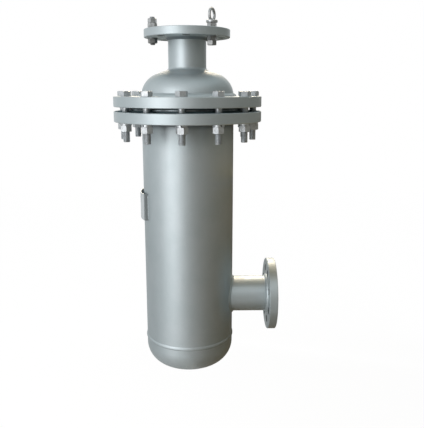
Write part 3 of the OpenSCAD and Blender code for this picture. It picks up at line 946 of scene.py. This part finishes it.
@dataclass
class LiftingFittings:
    """Forged eye bolt and stud in the outlet flange."""

    thread: float = 6.0 * MM  # radius of both threads
    pitch: float = 1.75 * MM  # rise of the threads
    ring_part: float = 22.0 * MM  # how far down from its top the eye is taken as a ring
    collar: tuple[Pair, ...] = (  # corners of the eye's collar and neck: radius and height in mm
        (0.0, 0.0), (12.4, 0.0), (13.0, 0.6), (13.0, 4.2), (12.0, 5.4), (8.2, 6.6), (5.4, 7.6),
        (4.2, 8.8), (0.0, 8.8))

    def build(self, zinc: Material) -> None:
        """Models the stud, threaded from end to end, and the eye bolt.

        Args:
            zinc: their finish.
        """
        stud = self._thread(*span("flange_stud", 2)).build("threaded_stud", True, True)
        stud.data.transform(Matrix.Translation((*middle("flange_stud").xy, 0.0)))
        shade(stud)
        dressed(stud, zinc, Slot.ZINC, "flange_stud")
        self._eye(zinc)

    def _thread(self, low: float, high: float) -> Thread:
        """The thread between two heights."""
        return Thread(self.thread, self.pitch, low, high, steps=24, tip=0.8 * MM)

    def _eye(self, zinc: Material) -> None:
        """Models the eye: ring, neck and collar forged in one, and a threaded shank.

        Args:
            zinc: its finish.
        """
        normal, centre, major, minor, seat = self._ring()
        clear_selection()
        bpy.ops.mesh.primitive_torus_add(
            major_radius=major, minor_radius=minor, major_segments=96, minor_segments=32)
        ring = bpy.context.object
        upright = normal.to_track_quat("Z", "Y").to_matrix().to_4x4()
        ring.data.transform(Matrix.Translation(centre) @ upright)
        collar = outline("eye_collar", [(out * MM, up * MM) for out, up in self.collar])
        turn(collar, 64)
        collar.data.transform(Matrix.Translation((*centre.xy, seat)))
        forging = joined("forged_eye", [ring, collar])
        apply_modifier(forging, "REMESH", mode="VOXEL", voxel_size=0.5 * MM)
        apply_modifier(forging, "SMOOTH", factor=0.5, iterations=10)
        cut(forging, seat, keep_below=False)
        close_up(forging)
        low = span("lifting_eye_bolt", 2)[0]
        bar = self._thread(low, seat + 1.0 * MM).build("eye_shank", True, False)
        bar.data.transform(Matrix.Translation((*centre.xy, 0.0)))
        eye = joined("forged_eye_bolt", [forging, bar])
        shade(eye, 50.0)
        dressed(eye, zinc, Slot.ZINC, "lifting_eye_bolt")

    def _ring(self) -> tuple[Vector, Vector, float, float, float]:
        """Reads the eye from the CAD solid.

        Returns:
            The ring's axis, its middle, its two radii and the height of the eye's seat.
        """
        points = points_of("lifting_eye_bolt")
        top = points[:, 2].max()
        shank = points[points[:, 2] < points[:, 2].min() + 1.0 * MM]
        foot = (shank.min(axis=0) + shank.max(axis=0)) / 2
        reach = np.hypot(points[:, 0] - foot[0], points[:, 1] - foot[1])
        seat = float(points[reach > 2.0 * self.thread, 2].min())
        upper = points[points[:, 2] > top - self.ring_part][:, :2] - foot[:2]
        through, side = np.linalg.eigh(upper.T @ upper)[1].T
        outer = float(np.abs(upper @ side).max())
        minor = float(np.abs(upper @ through).max())
        normal = Vector((*through, 0.0)).normalized()
        centre = Vector((foot[0], foot[1], top - outer))
        return normal, centre, outer - minor, minor, seat


@dataclass
class DrainSocket:
    """Threaded drain socket with a real tapped hole."""

    hole: float = 15.15 * MM  # radius of the plain CAD hole
    pitch: float = 2.309 * MM
    depth: float = 1.3 * MM  # how deep the thread is cut
    edge: float = 1.0 * MM  # chamfer of the rims
    beyond: float = 3.0 * MM  # how far the tap goes past both ends

    def build(self, paint: Material) -> None:
        """Models the socket and taps it.

        Args:
            paint: its finish.
        """
        low, high = span("drain_socket", 2)
        left, right = span("drain_socket", 0)
        outer = (right - left) / 2
        crest = self.hole + self.depth
        body = outline("tapped_drain_socket", [
            (crest, low), (outer - self.edge, low), (outer, low + self.edge), (outer, high),
            (self.hole, high), (self.hole, low + self.depth)])
        turn(body, 96)
        tap = Thread(crest, self.pitch, low - self.beyond, high + self.beyond, 48).build(
            "tap", False, False)
        apply_modifier(body, "BOOLEAN", operation="DIFFERENCE", object=tap, solver="EXACT")
        bpy.data.objects.remove(tap)
        shade(body)
        dressed(body, paint, Slot.PAINT, "drain_socket")


@dataclass
class BracketWelds:
    """Thin weld beads that hold the bracket's legs on the shell."""

    short: float = 3.0 * MM  # how far a bead ends from the ends of its leg
    leg: float = 1.7 * MM  # its width

    def build(self, paint: Material) -> None:
        """Models one bead and copies it to both legs.

        Args:
            paint: its finish.
        """
        low, high = span("nameplate_bracket", 2)
        bead = self._bead(high - low - 2 * self.short)
        near = bracket_feet()
        side = np.array(bracket_side())
        copies = []
        for outward in (-side, side):
            foot = near[np.argmax(near @ outward)]
            turned = Vector((*outward, 0.0)).to_track_quat("X", "Z").to_matrix().to_4x4()
            place = Matrix.Translation((*foot, (low + high) / 2))
            copies.append(copy_of(bead, place @ turned))
        bpy.data.objects.remove(bead)
        beads = joined("bracket_weld_beads", copies)
        shade(beads, 60.0)
        dressed(beads, paint, Slot.PAINT)

    def _bead(self, length: float) -> Piece:
        """Models a rippled bead along Z, its middle at zero, as a remeshed bar.

        Args:
            length: from end to end.

        Returns:
            A closed mesh.
        """
        clear_selection()
        bpy.ops.mesh.primitive_cylinder_add(
            vertices=20, radius=self.leg * 0.8, depth=length, end_fill_type="TRIFAN")
        bead = bpy.context.object
        apply_modifier(bead, "REMESH", mode="VOXEL", voxel_size=0.4 * MM)
        for vertex in bead.data.vertices:
            along = 2.0 * vertex.co.z / length
            swell = (1.0 - 0.5 * along ** 8) * (1.0 + 0.06 * math.sin(along * 58.0))
            vertex.co.x *= swell
            vertex.co.y *= swell
        apply_modifier(bead, "SMOOTH", factor=0.5, iterations=3)
        return bead


@dataclass
class Vessel:
    """Painted shell, heads, pipes, flanges and bracket, and the bare pack inside."""

    shadow: float = 4.0 * MM  # how far below the body flange the painted shade on the shell is darkest
    edge: float = 3.2 * MM  # how far the bare joint reaches down from a raised face
    beyond: float = 20.0 * MM  # how far the bare joint goes past the gasket
    borders: tuple[tuple[str, float], ...] = (  # widths outside the raised faces
        ("body_flange", 41.0 * MM), ("cover_flange", 41.0 * MM), ("outlet_flange", 34.0 * MM),
        ("inlet_flange", 37.0 * MM))

    def dress(self) -> tuple[Material, Material, Material]:
        """Gives every CAD node its finish.

        Returns:
            The paint, the cover bolts' zinc and the lifting fittings' older zinc.
        """
        # older zinc of the lifting fittings, with painted shade below the outlet flange's
        # underside
        old_zinc = ZincPlate(
            "old_zinc_plate", (0.44, 0.465, 0.475), (0.29, 0.305, 0.31), (0.38, 0.38, 0.36),
            0.76, 0.34, span("outlet_flange", 2)[0]).material()
        by_slot = {slot: finish.material() for slot, finish in (
            (Slot.PAINT, SilverPaint()),
            (Slot.ZINC, ZincPlate()),
            (Slot.INNER, BareSteel("inner_steel", (0.40, 0.39, 0.38), (0.17, 0.15, 0.14), 0.42)),
            (Slot.GASKET, BareSteel(
                "gasket_ring_steel", (0.20, 0.235, 0.25), (0.11, 0.13, 0.14), 0.36)),
            (Slot.WINDING, BareSteel(
                "gasket_wound_strip", (0.22, 0.22, 0.22), (0.08, 0.08, 0.085), 0.5)))}
        for row in FRAME["record"]["subparts"]:
            coated(NODES[row["node"]], by_slot[Slot(row["material_slot"])])
        # the shell gets painted shade just below the body flange
        shell = SilverPaint("shell_paint", shade_top=span("body_flange", 2)[0] - self.shadow)
        side = bracket_side()
        reach = np.abs(points_of("nameplate_bracket")[:, :2] @ np.array(side))
        bracket = BracketPaint(side, float(reach.max()))
        own = self._flanges() | {"nameplate_bracket": bracket, "shell": shell}
        for name, finish in own.items():
            coated(NODES[name], finish.material())
        for name in ("lifting_nuts", "lifting_washers"):
            coated(NODES[name], old_zinc)
        LOG.info("dressed %d solids", len(NODES))
        return by_slot[Slot.PAINT], by_slot[Slot.ZINC], old_zinc

    def _flanges(self) -> dict[str, FlangePaint]:
        """The paint of each flange, from the sizes of its solid.

        Returns:
            Paints by node.
        """
        low, high = span("gasket_ring", 2)
        joints = {
            "body_flange": (span("body_flange", 2)[1] - self.edge, high + self.beyond),
            "cover_flange": (low - self.beyond, span("cover_flange", 2)[0] + self.edge)}
        made = {}
        for name, border in self.borders:
            axis, centre, rim = Axis.UP, (0.0, 0.0, 0.0), span(name, 0)[1]
            if name == "inlet_flange":
                low, high = span(name, 2)
                axis, centre, rim = Axis.INLET, tuple(middle(name)), (high - low) / 2
            joint = joints.get(name, NOWHERE)
            made[name] = FlangePaint(name + "_paint", axis, centre, rim, rim - border, joint)
        return made


@dataclass
class Welds:
    """All visible weld beads."""

    hollow: float = 0.13  # dip of a fillet's face between its toes, in legs
    outlet_hollow: float = 0.32  # the same below the outlet flange
    neck_hollow: float = 0.40  # the same on the dished cover
    sink: float = 0.8 * MM  # how far the cover flange's fillet reaches into the cover
    root: float = 2.5 * MM  # depth of the cap in the seam's groove
    sag: float = 0.35  # how far the seam's crest hangs, as a share of half its width
    sunk: float = 0.6 * MM  # how far the inlet's fillet reaches into the shell
    # beads given painted shade under their flanges
    shaded_beads: tuple[str, ...] = ("outlet_flange_back_weld", "body_flange_outer_weld")

    def build(self, paint: Material) -> None:
        """Models each bead from the box of its CAD solid.

        Args:
            paint: finish of most of them.
        """
        # painted shade: a darker copy of the paint for the beads under a flange
        dark = SilverPaint("shaded_weld_paint", (0.20, 0.23, 0.245), (0.17, 0.20, 0.215)).material()
        for bead in self._beads():
            bead.build(dark if bead.node in self.shaded_beads else paint)

    def _beads(self) -> list[RingBead]:
        """Every bead in the order that it is made.

        Returns:
            The beads.
        """
        shell = span("shell", 0)[1]
        left, right = span("outlet_pipe", 0)
        pipe = (right - left) / 2
        return [
            self._fillet("body_flange_outer_weld", Axis.UP, shell, False, self.hollow),
            self._fillet("cover_flange_outer_weld", Axis.UP, shell, True, self.hollow, self.sink),
            self._fillet("outlet_flange_back_weld", Axis.UP, pipe, False, self.outlet_hollow),
            self._fillet("inlet_flange_back_weld", Axis.INLET, pipe, False, self.hollow),
            self._outlet_neck(pipe),
            self._seam(shell),
            self._saddle(shell, pipe),
        ]

    def _face(self, hollow: float) -> list[Pair]:
        """The open face of a fillet with legs of 1.

        Args:
            hollow: how far it dips between the toes.

        Returns:
            Places out from the wall and along it, from the outer toe to the one on the wall.
        """
        face = []
        for i in range(FACE_STEPS + 1):
            angle = math.pi / 2 * i / FACE_STEPS
            bulge = 1.0 - hollow * math.sin(2.0 * angle)
            face.append((math.cos(angle) ** 1.25 * bulge, math.sin(angle) ** 1.25 * bulge))
        return face

    def _fillet(
            self, node: str, axis: Axis, wall: float, up: bool, hollow: float,
            sink: float = 0.0) -> RingBead:
        """A fillet between a wall and a flange.

        Args:
            node: the CAD weld.
            axis: direction of its axis.
            wall: radius of the wall.
            up: whether it stands above the flange, and not below.
            hollow: how far its face dips between the toes.
            sink: how far it reaches into the wall, where the wall falls back.

        Returns:
            The bead.
        """
        low, high = span(node, axis)
        leg = high - low
        foot, rise = (low, leg) if up else (high, -leg)
        section = [(wall - sink, 0.0)]
        for i, (out, along) in enumerate(self._face(hollow)):
            section.append((wall + leg * out - sink * (i / FACE_STEPS) ** 2, rise * along))
        origin = middle(node)
        origin[axis] = foot
        return RingBead(node, axis, origin, section, 1)

    def _outlet_neck(self, pipe: float) -> RingBead:
        """The fillet where the outlet pipe stands on the dished cover.

        Args:
            pipe: radius of the pipe.

        Returns:
            The bead.
        """
        low, high = span("outlet_pipe_weld", 2)
        reach = span("outlet_pipe_weld", 0)[1] - pipe
        foot = high - reach
        toe = low - foot
        section = [(pipe, 0.0)]
        for out, along in self._face(self.neck_hollow):
            section.append((pipe + reach * out, toe * (1.0 - along) + reach * along))
        return RingBead(
            "outlet_pipe_weld", Axis.UP, (0.0, 0.0, foot), section, 1, depth=0.15 * MM)

    def _seam(self, shell: float) -> RingBead:
        """The low cap over the seam below the shell, its crest sagged under the middle.

        Args:
            shell: radius of the shell.

        Returns:
            The bead.
        """
        low, high = span("bottom_seam_weld", 2)
        proud = span("bottom_seam_weld", 0)[1] - shell
        half = (high - low) / 2
        crest = -self.sag * half
        root = shell - self.root
        section = [(root, half * 0.4), (root, -half * 0.4)]
        for i in range(11):
            height = half * (i / 5 - 1.0)
            side = half - crest if height > crest else half + crest
            away = abs(height - crest) / side
            section.append((shell + proud * (1.0 - away ** 1.35), height))
        return RingBead(
            "bottom_seam_weld", Axis.UP, (0.0, 0.0, (low + high) / 2), section, 2,
            pitch=4.2 * MM, bow=1.0)

    def _saddle(self, shell: float, pipe: float) -> RingBead:
        """The fillet where the inlet pipe meets the round shell.

        Args:
            shell: radius of the shell.
            pipe: radius of the pipe.

        Returns:
            The bead.
        """
        low, high = span("inlet_pipe_weld", 2)
        leg = (high - low) / 2 - pipe
        section = [(pipe, -self.sunk), (pipe + leg, -self.sunk)]
        section += [(pipe + leg * out, leg * along) for out, along in self._face(self.hollow)]
        centre = middle("inlet_pipe_weld")
        return RingBead(
            "inlet_pipe_weld", Axis.INLET, (shell, centre.y, centre.z), section, 2,
            depth=0.2 * MM, saddle=shell)


@dataclass
class Studio:
    """White sweep, soft boxes, dim cards and the camera."""

    frame: tuple[int, int] = (424, 428)  # width and height of the picture in pixels
    focal: float = 551.06  # focal length in pixels
    stand: Vec3 = (0.03026, -1.34087, 0.70963)  # where the camera stands
    heading: float = 1.182  # degrees that it turns from +Y towards +X
    pitch: float = 12.658  # degrees that it looks down
    floor: float = -0.80  # height of the floor

    def build(self) -> None:
        """Makes the camera, the world, the floor, the lamps and the cards."""
        self._camera()
        self._world()
        self._floor()
        lamps = (
            ("key_box", (-1.55, -1.92, 0.85), (0, 0, 0.65), (1.45, 3), 36, (1, 0.955, 0.955)),
            ("top_box", (0.55, 0.35, 2.5), (0.05, 0, 0.5), (1.4, 1.2), 5.5, (1, 0.94, 0.84)),
            ("rim_box", (0.06, 2, 1.9), (0.13, 0, 0.24), (0.8, 0.6), 3, (1, 0.8, 0.6), 42))
        for lamp in lamps:
            self._lamp(*lamp)
        for name, low, high, tone in (
                ("right_low_card", -0.80, -0.05, (0.115, 0.083, 0.040)),
                ("right_card", -0.05, 0.35, (0.250, 0.208, 0.145)),
                ("right_high_card", 0.35, 2.40, (0.315, 0.305, 0.28))):
            level = (low + high) / 2
            self._card(name, (1.5, -0.42, level), (0.0, -0.42, level), (4.35, high - low), tone)
        cards = (
            ("front_card", (0.55, -2.6, 0.3), (0.1, 0, 0.35), (1.9, 2.2), (0.22, 0.19, 0.15)),
            ("ceiling_card", (0.15, 0.45, 1.85), (0.15, 0.45, 0), (2.3, 2.2), (0.7, 0.75, 0.75)),
            ("inlet_card", (0.3, -0.02, 0.5), (0.3, -0.02, 0), (0.34, 0.34), (0.32, 0.24, 0.12)),
            ("low_card", (0.52, 0, -0.3), (0.52, 0, 1), (0.9, 1.3), (0.16, 0.125, 0.075)),
            ("back_card", (0.55, 1.7, 0), (0, 0, 0), (1.7, 1.4), (0.075, 0.055, 0.028)))
        for card in cards:
            self._card(*card)

    def _camera(self) -> None:
        """Makes the camera at the photograph's viewing angle."""
        data = bpy.data.cameras.new("camera")
        data.lens = self.focal / max(self.frame) * data.sensor_width
        item = bpy.data.objects.new("camera", data)
        bpy.context.collection.objects.link(item)
        item.location = self.stand
        item.rotation_euler = (math.radians(90.0 - self.pitch), 0.0, -math.radians(self.heading))
        bpy.context.scene.camera = item

    def _world(self) -> None:
        """Makes a world that is white to the eye and to metal, and softer as light."""
        world = bpy.data.worlds.new("studio")
        bpy.context.scene.world = world
        nodes = Nodes(world)
        seen = nodes.ray("Is Camera Ray").most(nodes.ray("Is Glossy Ray"))
        seen = seen.most(nodes.ray("Is Transmission Ray"))
        level = nodes.node("ShaderNodeMapRange", {"Value": seen, "To Min": 0.55})
        sky = nodes.node("ShaderNodeBackground", {"Color": (1.0, 1.0, 1.0), "Strength": level})
        nodes.end("ShaderNodeOutputWorld", sky)

    def _floor(self) -> None:
        """Makes a wide pale floor that keeps a soft shadow and looks white to the camera."""
        clear_selection()
        bpy.ops.mesh.primitive_grid_add(
            x_subdivisions=8, y_subdivisions=8, size=14.0, location=(0.0, 0.0, self.floor))
        item = bpy.context.object
        item.name = "floor"
        material = bpy.data.materials.new("pale_floor")
        nodes = Nodes(material)
        plain = nodes.node("ShaderNodeBsdfDiffuse", {"Color": (0.78, 0.78, 0.78)})
        glow = nodes.node("ShaderNodeEmission", {"Strength": 1.06})
        share = nodes.ray("Is Camera Ray") * 0.9
        both = nodes.node("ShaderNodeMixShader", {0: share, 1: plain, 2: glow})
        nodes.end("ShaderNodeOutputMaterial", both)
        item.data.materials.append(material)

    def _lamp(
            self, name: str, place: Vec3, aim: Vec3, size: Pair, power: float, tint: Vec3,
            spread: float = 180.0) -> None:
        """Makes one soft box.

        Args:
            name: its name.
            place: where it stands.
            aim: the point that it faces.
            size: width and height.
            power: watts.
            tint: colour of its light.
            spread: degrees that its light fans out.
        """
        data = bpy.data.lights.new(name, "AREA")
        data.shape = "RECTANGLE"
        data.size, data.size_y = size
        data.energy = power
        data.color = tint
        data.spread = math.radians(spread)
        item = bpy.data.objects.new(name, data)
        bpy.context.collection.objects.link(item)
        aimed(item, place, aim, "-Z")
        item.visible_camera = False

    def _card(self, name: str, place: Vec3, aim: Vec3, size: Pair, tone: Vec3) -> None:
        """Makes one dim card that the camera does not see, for the metal to reflect.

        Args:
            name: its name.
            place: its middle.
            aim: the point that it faces.
            size: width and height.
            tone: its colour.
        """
        clear_selection()
        bpy.ops.mesh.primitive_plane_add(size=1.0)
        item = bpy.context.object
        item.name = name
        item.scale = (*size, 1.0)
        aimed(item, place, aim, "Z")
        material = bpy.data.materials.new(name)
        nodes = Nodes(material)
        glow = nodes.node("ShaderNodeEmission", {"Color": tone})
        nodes.end("ShaderNodeOutputMaterial", glow)
        item.data.materials.append(material)
        item.visible_camera = False
        item.visible_shadow = False


def main() -> None:
    """Builds the looks in order."""
    logging.basicConfig(level=logging.INFO, format="%(name)s: %(message)s")
    bpy.context.scene.view_settings.view_transform = "Standard"
    Studio().build()
    paint, zinc, old_zinc = Vessel().dress()
    Welds().build(paint)
    CoverBolts().build(zinc)
    LiftingFittings().build(old_zinc)
    DrainSocket().build(paint)
    BracketWelds().build(paint)
    clear_selection()


if __name__ == "__main__":
    main()
